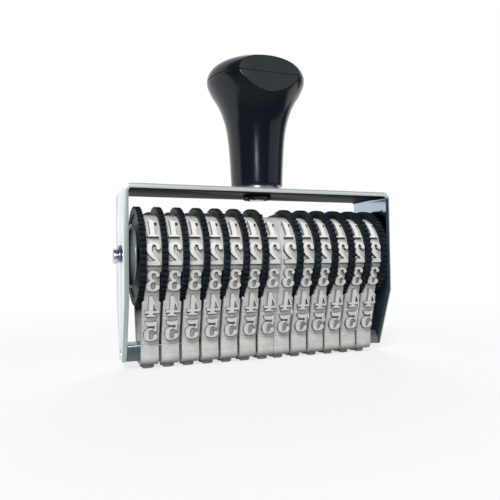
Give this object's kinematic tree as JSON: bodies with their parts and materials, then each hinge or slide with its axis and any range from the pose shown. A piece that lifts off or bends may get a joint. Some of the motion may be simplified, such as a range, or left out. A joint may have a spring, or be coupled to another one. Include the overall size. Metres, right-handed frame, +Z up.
{
  "type": "number band stamp",
  "caption": "Hand stamp with a row of mirrored number bands, toothed thumb wheels on one axle, a bent steel frame and a knob handle.",
  "frame": {"origin": "on the printing face, in the middle of the row's width and of the frame's depth", "axes": "+X along the axle to the right as seen from the front, -Y to the front, +Z up to the handle"},
  "size_m": [0.0816, 0.0272, 0.0855],
  "materials": {
    "frame_zinc": "bright zinc-plated sheet steel",
    "bridge_zinc": "zinc-plated bar",
    "pin_steel": "turned steel",
    "ring_steel": "spring steel",
    "washer_steel": "zinc-plated steel",
    "nut_steel": "dark zinc-plated steel",
    "wheel_black": "moulded black plastic, slight sheen",
    "band_rubber": "light warm grey moulded rubber",
    "handle_gloss": "black gloss plastic"
  },
  "bodies": {
    "stamp": {"frame": "frame_zinc", "bridge": "bridge_zinc", "axle": "pin_steel", "retaining_ring_left": "ring_steel", "retaining_ring_right": "ring_steel", "side_washer_left": "washer_steel", "side_washer_right": "washer_steel", "handle_body": "handle_gloss", "handle_cap": "handle_gloss", "handle_boss": "washer_steel", "handle_nut": "nut_steel", "handle_stud": "pin_steel", "band_01": "band_rubber", "band_02": "band_rubber", "band_03": "band_rubber", "band_04": "band_rubber", "band_05": "band_rubber", "band_06": "band_rubber", "band_07": "band_rubber", "band_08": "band_rubber", "band_09": "band_rubber", "band_10": "band_rubber", "band_11": "band_rubber", "band_12": "band_rubber", "band_13": "band_rubber"},
    "thumb_01": {"wheel_01": "wheel_black"},
    "thumb_02": {"wheel_02": "wheel_black"},
    "thumb_03": {"wheel_03": "wheel_black"},
    "thumb_04": {"wheel_04": "wheel_black"},
    "thumb_05": {"wheel_05": "wheel_black"},
    "thumb_06": {"wheel_06": "wheel_black"},
    "thumb_07": {"wheel_07": "wheel_black"},
    "thumb_08": {"wheel_08": "wheel_black"},
    "thumb_09": {"wheel_09": "wheel_black"},
    "thumb_10": {"wheel_10": "wheel_black"},
    "thumb_11": {"wheel_11": "wheel_black"},
    "thumb_12": {"wheel_12": "wheel_black"},
    "thumb_13": {"wheel_13": "wheel_black"}
  },
  "joints": [
    {"name": "wheel_01_turn", "type": "hinge", "parent": "stamp", "child": "thumb_01", "pos_m": [-0.03208, 0, 0.0295], "axis": [1, 0, 0], "continuous": true},
    {"name": "wheel_02_turn", "type": "hinge", "parent": "stamp", "child": "thumb_02", "pos_m": [-0.02668, 0, 0.0295], "axis": [1, 0, 0], "continuous": true},
    {"name": "wheel_03_turn", "type": "hinge", "parent": "stamp", "child": "thumb_03", "pos_m": [-0.02128, 0, 0.0295], "axis": [1, 0, 0], "continuous": true},
    {"name": "wheel_04_turn", "type": "hinge", "parent": "stamp", "child": "thumb_04", "pos_m": [-0.01588, 0, 0.0295], "axis": [1, 0, 0], "continuous": true},
    {"name": "wheel_05_turn", "type": "hinge", "parent": "stamp", "child": "thumb_05", "pos_m": [-0.01048, 0, 0.0295], "axis": [1, 0, 0], "continuous": true},
    {"name": "wheel_06_turn", "type": "hinge", "parent": "stamp", "child": "thumb_06", "pos_m": [-0.00508, 0, 0.0295], "axis": [1, 0, 0], "continuous": true},
    {"name": "wheel_07_turn", "type": "hinge", "parent": "stamp", "child": "thumb_07", "pos_m": [0.00032, 0, 0.0295], "axis": [1, 0, 0], "continuous": true},
    {"name": "wheel_08_turn", "type": "hinge", "parent": "stamp", "child": "thumb_08", "pos_m": [0.00508, 0, 0.0295], "axis": [1, 0, 0], "continuous": true},
    {"name": "wheel_09_turn", "type": "hinge", "parent": "stamp", "child": "thumb_09", "pos_m": [0.01048, 0, 0.0295], "axis": [1, 0, 0], "continuous": true},
    {"name": "wheel_10_turn", "type": "hinge", "parent": "stamp", "child": "thumb_10", "pos_m": [0.01588, 0, 0.0295], "axis": [1, 0, 0], "continuous": true},
    {"name": "wheel_11_turn", "type": "hinge", "parent": "stamp", "child": "thumb_11", "pos_m": [0.02128, 0, 0.0295], "axis": [1, 0, 0], "continuous": true},
    {"name": "wheel_12_turn", "type": "hinge", "parent": "stamp", "child": "thumb_12", "pos_m": [0.02668, 0, 0.0295], "axis": [1, 0, 0], "continuous": true},
    {"name": "wheel_13_turn", "type": "hinge", "parent": "stamp", "child": "thumb_13", "pos_m": [0.03208, 0, 0.0295], "axis": [1, 0, 0], "continuous": true}
  ]
}
